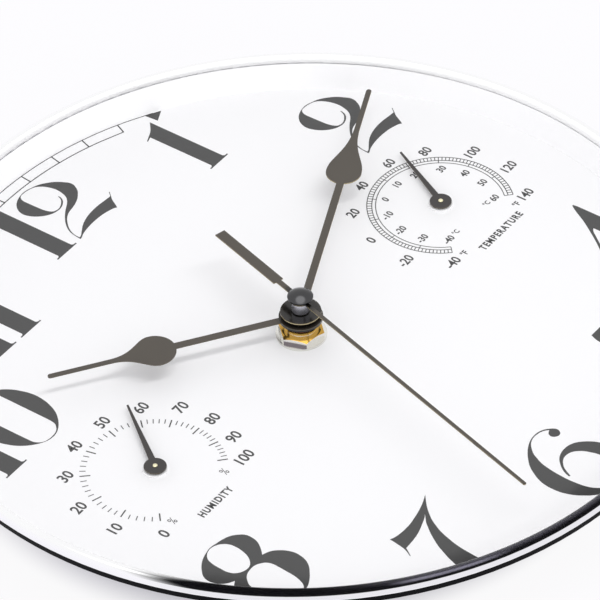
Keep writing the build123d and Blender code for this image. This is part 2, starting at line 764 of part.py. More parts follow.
def spade(eye_radius, stem_width, bulb_length, bulb_half_width, bar_length, bar_width, tip):
    # half outline above the X axis: stem, round heel of the bulb, hollow taper, bar and round tip
    neck = tip - bar_length
    bulb_start = neck - bulb_length
    stem = stem_width / 2
    bar = bar_width / 2
    middle = bulb_start + bulb_half_width
    heel_x = middle - sqrt(bulb_half_width**2 - stem**2)
    heel_mid = middle - bulb_half_width * sqrt(0.5)
    run = neck - middle
    edges = [
        Line((0, 0), (0, stem)),
        Line((0, stem), (heel_x, stem)),
        ThreePointArc((heel_x, stem), (heel_mid, bulb_half_width * sqrt(0.5)), (middle, bulb_half_width)),
        Bezier(
            (middle, bulb_half_width), (middle + 0.3 * run, bulb_half_width),
            (middle + 0.42 * run, bar), (neck, bar),
        ),
        Line((neck, bar), (tip - bar, bar)),
        ThreePointArc((tip - bar, bar), (tip - bar + bar * sqrt(0.5), bar * sqrt(0.5)), (tip, 0)),
        Line((tip, 0), (0, 0)),
    ]
    half = make_face(edges)
    return half + mirror(half, about=Plane.XZ) + Circle(eye_radius)


def placed(sketch, bearing, low, hole):
    return plate(Rot(0, 0, degrees(bearing)) * (sketch - Circle(hole)), low, low + hand_thickness)


hour_shape = spade(
    hour_boss_radius, hour_stem_width, hour_bulb_length, hour_bulb_half_width, hour_bar_length, hour_bar_width,
    hour_tip,
)
save("hour_hand", placed(hour_shape, hour_bearing, hour_plate_low, minute_pipe_radius + hand_hole_clearance))
save("hour_hand_boss", tube(hour_boss_radius, hour_pipe_radius, dial_top + hour_boss_bottom, hour_plate_low))

minute_shape = spade(
    minute_eye_radius, minute_stem_width, minute_bulb_length, minute_bulb_half_width, minute_bar_length,
    minute_bar_width, minute_tip,
)
save("minute_hand", placed(minute_shape, minute_bearing, minute_plate_low, minute_pipe_radius - minute_shoulder))

second_shape = make_face([
    Line((0, -second_root_width / 2), (second_tip - second_tip_width / 2, -second_tip_width / 2)),
    bar_end(second_tip, second_tip_width),
    Line((second_tip - second_tip_width / 2, second_tip_width / 2), (0, second_root_width / 2)),
    Line((0, second_root_width / 2), (0, -second_root_width / 2)),
])
second_shape += Circle(second_eye_radius)
second_shape += Pos(-tail_neck_length / 2, 0) * Rectangle(tail_neck_length, tail_neck_width)
tail_bar = tail_length - tail_neck_length
second_shape += Pos(-tail_neck_length - tail_bar / 2, 0) * Rectangle(tail_bar, tail_width)
second_hand = plate(
    Rot(0, 0, degrees(second_bearing)) * second_shape, second_plate_low, second_plate_high
)
save("second_hand", second_hand)
save("second_hand_tube", tube(
    second_tube_radius, arbor_radius, dial_top + second_tube_bottom, second_plate_low
))
cap_low = second_plate_high + cap_neck_height
dome_rise = cap_height - cap_rim_height
dome_radius = (cap_radius**2 + dome_rise**2) / (2 * dome_rise)
cap_top = cap_low + cap_height
mid_radius = cap_radius * 0.6
mid_z = cap_top - dome_radius + sqrt(dome_radius**2 - mid_radius**2)
cap_face = make_face([
    Polyline([(0, 0, cap_top), (0, 0, cap_low), (cap_radius, 0, cap_low), (cap_radius, 0, cap_low + cap_rim_height)]),
    ThreePointArc((cap_radius, 0, cap_low + cap_rim_height), (mid_radius, 0, mid_z), (0, 0, cap_top)),
])
cap_neck = disc(second_tube_radius, second_plate_high, cap_low)
save("second_hand_cap", cap_neck + revolve(cap_face, axis=Axis.Z))


# Thermometer on the right and hygrometer on the left: each a cup behind the dial with a spiral
# strip on its arbor, held by a collar in front
def pointer_shape(length):
    root = pointer_root_width / 2
    tip = pointer_tip_width / 2
    blade = make_face(Polyline([(0, -root), (length, -tip), (length, tip), (0, root)], close=True))
    return blade + Circle(pointer_hub_radius) - Circle(gauge_arbor_radius)


def spiral(start, bearing):
    # half rings centred in turn on the two sides, each one pitch wider across than the last
    strip = None
    radius = start
    centre = 0.0
    for k in range(coil_half_turns):
        ring = Circle(radius + coil_strip) - Circle(radius)
        side = 1 if k % 2 == 0 else -1
        reach = 2 * radius + 2
        half = ring & (Pos(0, side * reach / 2) * Rectangle(2 * reach, reach))
        strip = Pos(centre, 0) * half if strip is None else strip + Pos(centre, 0) * half
        centre += -side * coil_pitch / 4 if k % 2 == 0 else coil_pitch / 4
        radius += coil_pitch / 4
    return Rot(0, 0, degrees(bearing)) * strip


gauges = (
    ("thermometer", 1, thermometer_bearing, thermometer_pointer_length),
    ("hygrometer", -1, hygrometer_bearing, hygrometer_pointer_length),
)
gauge_low = dial_back - gauge_depth
cap_seat = gauge_low + gauge_cap_thickness
front_low = dial_back - gauge_wall
cup_inner = gauge_radius - gauge_wall
cap_step = 0.5
nose_top = dial_top + nose_height
gauge_bore = gauge_arbor_radius + gauge_fit
pointer_low = dial_top + pointer_lift
pointer_high = pointer_low + pointer_thickness
collet_low = cap_seat + 1.2
collet_high = collet_low + collet_height
coil_start = collet_radius + coil_gap
for name, side, bearing, length in gauges:
    shift = Pos(side * gauge_offset, 0, 0)
    housing = turned([
        (gauge_bore, front_low - 1), (nose_radius, front_low - 1), (nose_radius, front_low),
        (cup_inner, front_low), (cup_inner, cap_seat), (cup_inner + cap_step, cap_seat),
        (cup_inner + cap_step, gauge_low), (gauge_radius, gauge_low), (gauge_radius, dial_back),
        (nose_radius, dial_back), (nose_radius, nose_top), (gauge_bore, nose_top),
    ])
    save(name + "_housing", shift * housing)
    cap = tube(cup_inner + cap_step - gauge_cap_clearance, gauge_bore, gauge_low, cap_seat)
    for k in range(gauge_vent_count):
        place = polar(gauge_vent_circle, 2 * pi * k / gauge_vent_count)
        cap -= disc(gauge_vent_radius, gauge_low - 1, cap_seat + 1, *place)
    save(name + "_vent_cap", shift * cap)
    save(name + "_collar", shift * tube(collar_radius, nose_radius, dial_top, nose_top))
    arbor = disc(gauge_arbor_radius, gauge_low, pointer_high + arbor_head_height)
    head_edge = arbor.edges().filter_by(GeomType.CIRCLE).sort_by(Axis.Z)[-1]
    arbor = fillet(head_edge, 0.35) + disc(collet_radius, collet_low, collet_high)
    save(name + "_arbor", shift * arbor)
    coil = plate(spiral(coil_start, bearing), collet_low, collet_high)
    save(name + "_coil", shift * coil)
    reach = max(hypot(v.X, v.Y) for v in coil.vertices())
    ends = [v for v in coil.vertices() if hypot(v.X, v.Y) > reach - 0.01]
    end_bearing = atan2(ends[0].Y, ends[0].X)
    anchor = Pos(reach + anchor_size / 2, 0, (collet_low + front_low) / 2) * Box(
        anchor_size, anchor_size, front_low - collet_low
    )
    save(name + "_coil_anchor", shift * Rot(0, 0, degrees(end_bearing)) * anchor)
    shape = Rot(0, 0, degrees(bearing)) * pointer_shape(length)
    save(name + "_pointer", shift * plate(shape, pointer_low, pointer_high))


# Circuit board with its timing crystal and sealed chip
board_high = board_low + board_thickness
save("circuit_board", block(board_low_x, board_x, board_low_y, board_y, board_low, board_high))
crystal_place = Pos(board_x - crystal_inset, (board_low_y + board_y) / 2, board_high + crystal_radius)
save("quartz_crystal", crystal_place * Rot(90, 0, 0) * Cylinder(crystal_radius, crystal_length))
chip_z = board_high + chip_height
chip = turned([(0, board_high), (chip_radius, board_high), (chip_radius * 0.7, chip_z), (0, chip_z)])
save("control_chip", Pos(board_low_x + chip_inset_x, board_low_y + chip_inset_y, 0) * chip)
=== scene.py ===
import math

import bpy
from mathutils import Matrix, Vector


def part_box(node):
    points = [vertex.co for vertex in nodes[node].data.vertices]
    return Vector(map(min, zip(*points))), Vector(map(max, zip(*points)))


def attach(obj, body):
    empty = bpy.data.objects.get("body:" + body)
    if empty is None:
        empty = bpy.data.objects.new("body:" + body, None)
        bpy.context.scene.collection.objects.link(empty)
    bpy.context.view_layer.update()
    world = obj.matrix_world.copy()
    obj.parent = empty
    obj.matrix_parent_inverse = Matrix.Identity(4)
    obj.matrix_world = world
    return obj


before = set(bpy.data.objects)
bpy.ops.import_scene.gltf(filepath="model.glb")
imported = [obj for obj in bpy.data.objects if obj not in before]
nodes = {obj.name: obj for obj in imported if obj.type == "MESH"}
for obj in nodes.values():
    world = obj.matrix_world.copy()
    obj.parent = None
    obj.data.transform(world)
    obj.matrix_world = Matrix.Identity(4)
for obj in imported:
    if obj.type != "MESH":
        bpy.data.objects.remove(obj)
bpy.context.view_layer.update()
mm = 0.001
print("frame loaded:", len(nodes), "solids")


# Shader nodes as plain expressions

class Wire:
    def __init__(self, paint, socket):
        self.paint = paint
        self.socket = socket

    def maths(self, operation, first, second=0.0):
        return self.paint.node("ShaderNodeMath", {"operation": operation}, {0: first, 1: second})

    def __add__(self, other):
        return self.maths("ADD", self, other)

    def __radd__(self, other):
        return self.maths("ADD", other, self)

    def __sub__(self, other):
        return self.maths("SUBTRACT", self, other)

    def __rsub__(self, other):
        return self.maths("SUBTRACT", other, self)

    def __mul__(self, other):
        return self.maths("MULTIPLY", self, other)

    def __rmul__(self, other):
        return self.maths("MULTIPLY", other, self)

    def __truediv__(self, other):
        return self.maths("DIVIDE", self, other)

    def __pow__(self, other):
        return self.maths("POWER", self, other)

    def sine(self):
        return self.maths("SINE", self)

    def size(self):
        return self.maths("ABSOLUTE", self)

    def larger(self, other):
        return self.maths("MAXIMUM", self, other)

    def bearing(self, across):         # of the point (across, self), in degrees
        return self.maths("ARCTAN2", self, across) * (180 / math.pi)

    def between(self, low, high):      # 0 at low, 1 at high, smooth and held outside
        return self.paint.node("ShaderNodeMapRange", {"interpolation_type": "SMOOTHSTEP"},
                               {0: self, 1: low, 2: high, 3: 0.0, 4: 1.0})


class Paint:
    def __init__(self, name):
        self.material = bpy.data.materials.new(name)
        self.material.use_nodes = True
        self.tree = self.material.node_tree
        self.shader = self.tree.nodes["Principled BSDF"]

    def node(self, kind, settings=None, sockets=None, out=0):
        made = self.tree.nodes.new(kind)
        for key, value in (settings or {}).items():
            setattr(made, key, value)
        for key, value in (sockets or {}).items():
            if isinstance(value, Wire):
                self.tree.links.new(value.socket, made.inputs[key])
            else:
                made.inputs[key].default_value = value
        return Wire(self, made.outputs[out])

    def place(self, name="Object"):
        return self.node("ShaderNodeTexCoord", out={"Generated": 0, "Normal": 1, "Object": 3}[name])

    def axes(self, wire):
        parts = self.node("ShaderNodeSeparateXYZ", None, {0: wire}).socket.node
        return [Wire(self, output) for output in parts.outputs]

    def noise(self, scale, detail=3.0, where=None):
        return self.node("ShaderNodeTexNoise", None,
                         {"Vector": where or self.place(), "Scale": scale, "Detail": detail})

    def stretched(self, scale):        # object coordinates, drawn out along an axis
        return self.node("ShaderNodeMapping", None, {"Vector": self.place(), "Scale": scale})

    def blend(self, factor, first, second):
        colours = [value if isinstance(value, Wire) else tuple(value) + (1.0,)
                   for value in (first, second)]
        return self.node("ShaderNodeMix", {"data_type": "RGBA"},
                         {0: factor, 6: colours[0], 7: colours[1]}, out=2)

    def rays(self, *kinds):            # for each kind of ray, 1 where the ray is of it
        path = self.node("ShaderNodeLightPath").socket.node
        return [Wire(self, path.outputs["Is " + kind + " Ray"]) for kind in kinds]

    def feed(self, **links):
        for key, value in links.items():
            socket = self.shader.inputs[key.replace("_", " ")]
            if isinstance(value, Wire):
                self.tree.links.new(value.socket, socket)
            else:
                socket.default_value = value

    def relief(self, height, depth):   # depth in metres
        normal = self.node("ShaderNodeBump", None,
                           {"Height": height, "Strength": 1.0, "Distance": depth})
        self.feed(Normal=normal)

    def surface(self):
        return Wire(self, self.shader.outputs[0])

    def show(self, share, first, second):    # mixes two shaders for the surface
        mixed = self.node("ShaderNodeMixShader", None, {0: share, 1: first, 2: second})
        self.tree.links.new(mixed.socket, self.tree.nodes["Material Output"].inputs["Surface"])


def tinted(colour, factor):
    return tuple(min(1.0, channel * factor) for channel in colour)


def distance(x, y):
    return (x * x + y * y) ** 0.5


def facing(slopes, degrees):           # 1 where a face looks towards this bearing
    turn = math.radians(degrees)
    return slopes[0] * math.cos(turn) + slopes[1] * math.sin(turn)


def dress(pieces, material):
    for name in pieces.split():
        slots = nodes[name].material_slots
        if not slots:
            nodes[name].data.materials.append(material)
        for slot in slots:
            slot.material = material


# Moulded plastic and rubber: grain size and depth in mm, change of tone as a share

def mouldedPlastic(name, colour, rough, grain, depth, change=0.06, coat=0.0, sheen=0.5):
    paint = Paint(name)
    fine = paint.noise(1 / (grain * mm), 4.0)
    broad = paint.noise(35.0, 3.0)
    tone = fine * 0.45 + broad * 0.55
    paint.feed(Base_Color=paint.blend(tone.between(0.3, 0.7), tinted(colour, 1 - change),
                                      tinted(colour, 1 + change)),
               Roughness=rough * 0.86 + broad * (rough * 0.28),
               Coat_Weight=coat, Specular_IOR_Level=sheen)
    paint.relief(fine, depth * mm)
    return paint.material


plastics = {
    "satinBlackCase": ("case_shell", {
        "colour": (0.004, 0.004, 0.005), "rough": 0.38, "grain": 0.35, "depth": 0.002,
        "sheen": 0.04}),
    "grainedBlackCover": ("back_cover", {
        "colour": (0.022, 0.022, 0.024), "rough": 0.52, "grain": 0.6, "depth": 0.02}),
    "whiteWall": ("wall_ring", {
        "colour": (0.94, 0.94, 0.945), "rough": 0.30, "grain": 0.5, "depth": 0.001,
        "change": 0.01}),
    "whiteCollar": ("thermometer_collar hygrometer_collar", {
        "colour": (0.95, 0.95, 0.95), "rough": 0.12, "grain": 0.3, "depth": 0.001,
        "change": 0.02, "coat": 0.8}),
    "ivoryHousing": (
        "thermometer_housing hygrometer_housing thermometer_vent_cap hygrometer_vent_cap", {
            "colour": (0.66, 0.66, 0.62), "rough": 0.5, "grain": 0.5, "depth": 0.01}),
    "blackMovementCase": ("movement_front_case movement_rear_case", {
        "colour": (0.030, 0.030, 0.033), "rough": 0.46, "grain": 0.4, "depth": 0.015,
        "change": 0.12}),
    "whiteKnob": ("setting_knob", {
        "colour": (0.70, 0.70, 0.66), "rough": 0.42, "grain": 0.4, "depth": 0.006}),
    "naturalGear": (
        "second_wheel third_wheel intermediate_wheel centre_wheel minute_pipe motion_wheel "
        "hour_wheel rotor_pinion", {
            "colour": (0.76, 0.75, 0.69), "rough": 0.38, "grain": 0.3, "depth": 0.003}),
    "creamBobbin": ("coil_bobbin", {
        "colour": (0.74, 0.72, 0.64), "rough": 0.45, "grain": 0.4, "depth": 0.005}),
    "blackRubber": ("rubber_seal", {
        "colour": (0.018, 0.018, 0.018), "rough": 0.75, "grain": 0.25, "depth": 0.02,
        "change": 0.2}),
    "blackResin": ("control_chip", {
        "colour": (0.012, 0.012, 0.012), "rough": 0.3, "grain": 0.8, "depth": 0.03,
        "change": 0.2}),
    "glossBlackBoss": ("hour_hand_boss", {
        "colour": (0.005, 0.005, 0.0055), "rough": 0.14, "grain": 0.8, "depth": 0.0006,
        "change": 0.1}),
}
for finish, (pieces, look) in plastics.items():
    dress(pieces, mouldedPlastic(finish, **look))


# Dial: a sprayed and baked coat with a faint orange peel

def paintedSheet(name, colour, rough, peel, depth, change):
    paint = Paint(name)
    skin = paint.noise(1 / (peel * mm), 2.0)
    drift = paint.noise(14.0, 4.0)
    paint.feed(Base_Color=paint.blend(drift, tinted(colour, 1 - change), colour),
               Roughness=rough + (drift - 0.5) * (rough * 0.25))
    paint.relief(skin, depth * mm)
    return paint.material


dialPaint = {"colour": (0.935, 0.935, 0.94), "rough": 0.42, "peel": 0.9, "depth": 0.0015,
             "change": 0.012}
dress("dial_plate", paintedSheet("whiteDial", **dialPaint))


# Turned metal: lathe rings about an upright axis. A side colour, where given, is a painted
# reflection on the milled sides: pale on the nut, dark on the cap

def turnedMetal(name, colour, rough, centre=(0.0, 0.0), pitch=0.12, depth=0.0006, change=0.12,
                side=None, paintedShade=None):
    paint = Paint(name)
    x, y, z = paint.axes(paint.place())
    radius = distance(x - centre[0] * mm, y - centre[1] * mm)
    wander = paint.noise(160.0, 3.0)
    rings = (((radius + z * 0.7) * (2 * math.pi / (pitch * mm))) + wander * 3.0).sine()
    slopes = paint.axes(paint.place("Normal"))
    # Where given, the sides take a painted reflection, and low down on one bearing a painted shade
    if paintedShade:
        tint, (low, high), degrees = paintedShade
        paintedShadeLow = 1.0 - z.between(low * mm, high * mm)
        side = paint.blend(facing(slopes, degrees).between(0.75, 0.9) * paintedShadeLow, side, tint)
    tone = paint.blend(slopes[2].size().between(0.3, 0.7), side or colour, colour)
    paint.feed(Base_Color=paint.blend(wander, paint.blend(1 - change, (0.0, 0.0, 0.0), tone), tone),
               Roughness=rough + rings * (rough * 0.18) + (wander - 0.5) * (rough * 0.5),
               Metallic=1.0)
    paint.relief(rings, depth * mm)
    return paint.material


gaugeAt = {"hygrometer": (-75.0, 0.0), "thermometer": (75.0, 0.0)}
brass = {"colour": (0.55, 0.33, 0.07), "rough": 0.17}
turned = {
    "tubeNickel": ("second_hand_tube", {
        "colour": (0.72, 0.72, 0.79), "rough": 0.30, "pitch": 0.3, "depth": 0.0003,
        "change": 0.2}),
    "capNickel": ("second_hand_cap", {
        "colour": (0.080, 0.080, 0.083), "rough": 0.15, "pitch": 0.3, "depth": 0.0003,
        # Its dark sides are a painted reflection
        "change": 0.2, "side": (0.02, 0.02, 0.022)}),
    "threadBrass": ("threaded_bush", brass),
    "machinedBrass": ("hex_nut", {
        # Its pale sides are a painted reflection of the white dial
        **brass, "side": (0.93, 0.91, 0.88),
        # A painted shade and reflection low down on the faces of one bearing: colour, heights in
        # mm, degrees
        "paintedShade": ((0.26, 0.23, 0.26), (25.5, 26.0), -172.0)}),
    "platedWasher": ("dial_washer", {
        "colour": (0.80, 0.79, 0.75), "rough": 0.16, "pitch": 0.2}),
}
for gauge, centre in gaugeAt.items():
    turned[gauge + "Brass"] = (gauge + "_arbor " + gauge + "_coil_anchor", {
        "colour": (0.90, 0.84, 0.58), "rough": 0.25, "centre": centre, "pitch": 0.08})
for finish, (pieces, look) in turned.items():
    dress(pieces, turnedMetal(finish, **look))


# Rolled or brushed metal: its marks are drawn out along the axis with the small share

def rolledMetal(name, colour, rough, along=(1.0, 0.06, 1.0), depth=0.0015, change=0.15,
                metal=1.0):
    paint = Paint(name)
    marks = paint.noise(2600.0, 3.0, paint.stretched(along))
    stain = paint.noise(120.0, 4.0)
    paint.feed(Base_Color=paint.blend(stain, tinted(colour, 1 - change), colour),
               Roughness=rough + (marks - 0.5) * (rough * 0.6) + (stain - 0.5) * (rough * 0.3),
               Metallic=metal)
    paint.relief(marks, depth * mm)
    return paint.material


rolled = {
    "bimetalStrip": ("thermometer_coil hygrometer_coil", {
        "colour": (0.60, 0.49, 0.32), "rough": 0.30, "along": (1.0, 1.0, 0.05)}),
    "zincSteel": ("back_cover_screws hanger_rivets second_arbor train_studs motion_stud", {
        "colour": (0.58, 0.58, 0.57), "rough": 0.30, "along": (1.0, 1.0, 0.1)}),
    "hangerSteel": ("hanger_plate", {"colour": (0.55, 0.55, 0.54), "rough": 0.34}),
    "nickelContact": ("battery_contact_positive battery_contact_negative", {
        "colour": (0.70, 0.68, 0.62), "rough": 0.26, "along": (1.0, 1.0, 0.06)}),
    "crystalCan": ("quartz_crystal", {
        "colour": (0.68, 0.68, 0.68), "rough": 0.24, "along": (0.06, 1.0, 1.0)}),
    "motorIron": ("stator coil_core", {
        "colour": (0.36, 0.36, 0.37), "rough": 0.42, "along": (0.08, 1.0, 1.0)}),
    "sinteredMagnet": ("rotor_magnet", {
        "colour": (0.16, 0.16, 0.17), "rough": 0.55, "along": (1.0, 1.0, 1.0), "depth": 0.01,
        "change": 0.3, "metal": 0.7}),
}
for finish, (pieces, look) in rolled.items():
    dress(pieces, rolledMetal(finish, **look))


# Lip: polished, with wipe marks. Radii in mm: dull up to dullInside, then tinted lavender from the
# foot's radii on, a painted reflection of the floor

def polishedLip(name, colour, rough, dullInside, dull, foot, reflectionTintFrom):
    paint = Paint(name)
    x, y, z = paint.axes(paint.place())
    radius = distance(x, y)
    lines = paint.noise(1.0, 2.0, paint.node(
        "ShaderNodeCombineXYZ", None, {0: radius * 9000.0, 1: z * 9000.0, 2: 0.0}))
    mist = paint.noise(60.0, 5.0)
    inside = 1.0 - radius.between(dullInside[0] * mm, dullInside[1] * mm)
    outer = radius.between(reflectionTintFrom[0] * mm, reflectionTintFrom[1] * mm)
    plate = paint.blend(mist, tinted(colour, 0.97), colour)
    # The lavender foot is a painted reflection of the floor
    paint.feed(Base_Color=paint.blend(outer, plate, foot),
               Roughness=rough + lines * (rough * 0.5) + mist.between(0.5, 0.8) * (rough * 0.8)
               + inside * dull,
               Metallic=1.0)
    paint.relief(lines, 0.0002 * mm)
    return paint.material


lip = {"colour": (0.97, 0.97, 0.98), "rough": 0.06, "dullInside": (123.8, 124.6), "dull": 0.4,
       # The foot's lavender tint is a painted reflection of the floor
       "foot": (0.945, 0.94, 0.975), "reflectionTintFrom": (126.0, 126.5)}
dress("bezel_ring", polishedLip("polishedLip", **lip))


# Hands and pointers: stamped brass lacquered dark, with the cut edge left bright in places

lacquer = {"colour": (0.064, 0.054, 0.042), "rough": 0.34, "bare": (0.74, 0.62, 0.36),
           # Glossier lacquer round the hub, and darker there, a painted shade of the cap: whole
           # inside the first radius, gone at the second
           "eye": (5.0, 8.5), "hubShadeTint": 0.12, "eyeGloss": 0.16}


def lacqueredHand(name, bareEdge, bareFrom=0.0, bareEnd=None, colour=lacquer["colour"],
                  rough=lacquer["rough"]):
    paint = Paint(name)
    slopes = paint.axes(paint.place("Normal"))
    flake = paint.noise(2200.0, 3.0)
    wipe = paint.noise(90.0, 4.0)
    edge = 1.0 - slopes[2].size().between(0.35, 0.6)
    x, y, z = paint.axes(paint.place())
    radius = distance(x, y)
    eye = 1.0 - radius.between(lacquer["eye"][0] * mm, lacquer["eye"][1] * mm)
    # The darker lacquer round the hub is painted shade
    coat = paint.blend(eye, paint.blend(wipe, tinted(colour, 0.88), tinted(colour, 1.12)),
                       tinted(colour, lacquer["hubShadeTint"]))
    away = radius.between(bareFrom * mm, (bareFrom + 1.5) * mm)
    bare = edge * paint.noise(220.0, 3.0).between(0.30, 0.42) * away * bareEdge
    if bareEnd is not None:
        bare = bare + facing(slopes, bareEnd).between(0.7, 0.9) * (1.0 - bareEdge)
    paint.feed(Base_Color=paint.blend(bare, coat, lacquer["bare"]),
               Metallic=bare,
               Roughness=rough + (wipe - 0.5) * 0.12 + (flake - 0.5) * 0.06
               - eye * lacquer["eyeGloss"])
    paint.relief(flake, 0.0008 * mm)
    return paint.material


# Share of the edge that is bare, from what radius, and the bearing of an end that is all bare
hands = {
    "hourHandLacquer": ("hour_hand", {"bareEdge": 0.04}),
    "minuteHandLacquer": ("minute_hand", {"bareEdge": 0.5}),
    "secondHandLacquer": ("second_hand", {"bareEdge": 0.35, "bareFrom": 2.5, "bareEnd": 74.3}),
    "pointerLacquer": ("thermometer_pointer hygrometer_pointer", {
        "bareEdge": 0.1, "colour": (0.030, 0.026, 0.025), "rough": 0.30}),
}
for finish, (pieces, look) in hands.items():
    dress(pieces, lacqueredHand(finish, **look))


# Winding: enamelled wire laid side by side along the coil, its thickness in mm

def longerSide(box):                   # of x and y, the axis along which a piece is longer
    return max(range(2), key=lambda axis: box[1][axis] - box[0][axis])


def woundCopper(name, colour, wire, box):
    paint = Paint(name)
    where = paint.axes(paint.place())[longerSide(box)]
    turns = (where * (2 * math.pi / (wire * mm))).sine()
    layer = paint.noise(300.0, 3.0)
    paint.feed(Base_Color=paint.blend(layer, tinted(colour, 0.6), tinted(colour, 1.2)),
               Roughness=0.28 + layer * 0.15, Metallic=0.85, Coat_Weight=0.6)
    paint.relief(turns, 0.03 * mm)
    return paint.material


winding = {"colour": (0.62, 0.24, 0.09), "wire": 0.12}
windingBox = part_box("coil_winding")
dress("coil_winding", woundCopper("enamelledCopper", **winding, box=windingBox))


# Circuit board: green solder mask with faint copper tracks under it

def circuitLaminate(name, colour, tracks):
    paint = Paint(name)
    x, y, z = paint.axes(paint.place())
    across = ((x * 2600.0).sine() * (y * 900.0).sine()).between(0.1, 0.25)
    weave = paint.noise(4000.0, 2.0)
    paint.feed(Base_Color=paint.blend(across, colour, tracks),
               Roughness=0.32 + weave * 0.12)
    paint.relief(across + weave * 0.2, 0.02 * mm)
    return paint.material


board = {"colour": (0.02, 0.13, 0.05), "tracks": (0.06, 0.24, 0.08)}
dress("circuit_board", circuitLaminate("greenLaminate", **board))


# Cell: a plain jacket in two colours and plated ends, with shares of the cell's length

def cellJacket(name, colour, shoulder, shoulderFrom, ends, endsFrom, box):
    paint = Paint(name)
    along = longerSide(box)
    low, high = box[0][along], box[1][along]
    where = (paint.axes(paint.place())[along] - low) / (high - low)
    sheen = paint.noise(240.0, 3.0)
    body = paint.blend(where.between(*shoulderFrom), colour, shoulder)
    plated = (where - 0.5).size().between(*endsFrom)
    paint.feed(Base_Color=paint.blend(plated, body, ends),
               Metallic=0.35 + plated * 0.65, Roughness=0.26 + sheen * 0.16)
    paint.relief(sheen, 0.002 * mm)
    return paint.material


cell = {"colour": (0.035, 0.06, 0.16), "shoulder": (0.55, 0.40, 0.16),
        "shoulderFrom": (0.70, 0.705), "ends": (0.62, 0.61, 0.58), "endsFrom": (0.462, 0.466)}
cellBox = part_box("battery")
dress("battery", cellJacket("plainCellJacket", **cell, box=cellBox))
print("finishes on the solids")


# Print on the dial: outlines drawn in millimetres, then made a thin skin of ink

def printInk(name, colour, rough):     # screen printed, slightly uneven in tone
    paint = Paint(name)
    grain = paint.noise(2400.0, 3.0)
    cloud = paint.noise(45.0, 3.0)
    paint.feed(Base_Color=paint.blend(grain * 0.5 + cloud * 0.5, tinted(colour, 0.92),
                                      tinted(colour, 1.08)),
               Roughness=rough + (grain - 0.5) * 0.2)
    paint.relief(grain, 0.002 * mm)
    return paint.material


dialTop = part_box("dial_plate")[1].z
ink = {"colour": (0.054, 0.054, 0.054), "rough": 0.45, "thickness": 0.04, "sunk": 0.01,
       "outlineSteps": 5, "letterSteps": 3}
dialInk = printInk("dialInk", ink["colour"], ink["rough"])


def outline(text):                     # "x y, x y*" where * marks a sharp corner
    points = []
    for item in text.replace("\n", " ").split(","):
        corner = item.strip().endswith("*")
        x, y = item.replace("*", " ").split()
        points.append((float(x), float(y), corner))
    return points


def shifted(points, x=0.0, y=0.0, wide=1.0, tall=1.0):
    return [(px * wide + x, py * tall + y, corner) for px, py, corner in points]


def flatCurve(name, contours):
    curve = bpy.data.curves.new(name, "CURVE")
    curve.dimensions = "2D"
    curve.fill_mode = "BOTH"
    curve.extrude = ink["thickness"] / 2
    curve.resolution_u = ink["outlineSteps"]
    for points in contours:
        spline = curve.splines.new("BEZIER")
        spline.bezier_points.add(len(points) - 1)
        spline.use_cyclic_u = True
        for knot, (x, y, corner) in zip(spline.bezier_points, points):
            knot.co = (x, y, 0.0)
            knot.handle_left_type = knot.handle_right_type = "VECTOR" if corner else "AUTO"
    piece = bpy.data.objects.new(name, curve)
    bpy.context.scene.collection.objects.link(piece)
    return piece


def pick(pieces):
    bpy.ops.object.select_all(action="DESELECT")
    for piece in pieces:
        piece.select_set(True)
    bpy.context.view_layer.objects.active = pieces[0]


def printed(name, drawings):
    pick(drawings)
    bpy.ops.object.convert(target="MESH")
    if len(drawings) > 1:
        bpy.ops.object.join()
    piece = bpy.context.view_layer.objects.active
    piece.name = name
    piece.data.name = name
    piece.scale = (mm, mm, mm)
    piece.location = (0.0, 0.0, dialTop + (ink["thickness"] / 2 - ink["sunk"]) * mm)
    bpy.ops.object.transform_apply(location=True, rotation=True, scale=True)
    bpy.ops.object.mode_set(mode="EDIT")
    bpy.ops.mesh.select_all(action="SELECT")
    bpy.ops.mesh.remove_doubles(threshold=0.000001)
    bpy.ops.mesh.normals_make_consistent(inside=False)
    bpy.ops.object.mode_set(mode="OBJECT")
    piece.data.materials.clear()
    piece.data.materials.append(dialInk)
    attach(piece, "case")
    return piece


def numeralOne(x, y, w, tall=1.0, flag=2.2):     # w is the width of its stem
    return shifted([(-1.5, 0, True), (w + 1.5, 0, True), (w + 1.5, 0.5, True),
                    (w + 0.45, 0.62, False), (w, 1.1, True), (w, 30.5, True),
                    (w - 1.9, 28.8, False), (w - 3.95, 27.3, False), (-0.1, 26.3, False),
                    (-flag, 25.35, True), (-flag + 0.1, 25.05, True), (0, 25.7, True),
                    (0, 1.1, True), (-0.45, 0.62, False), (-1.5, 0.5, True)], x, y, 1.0, tall)


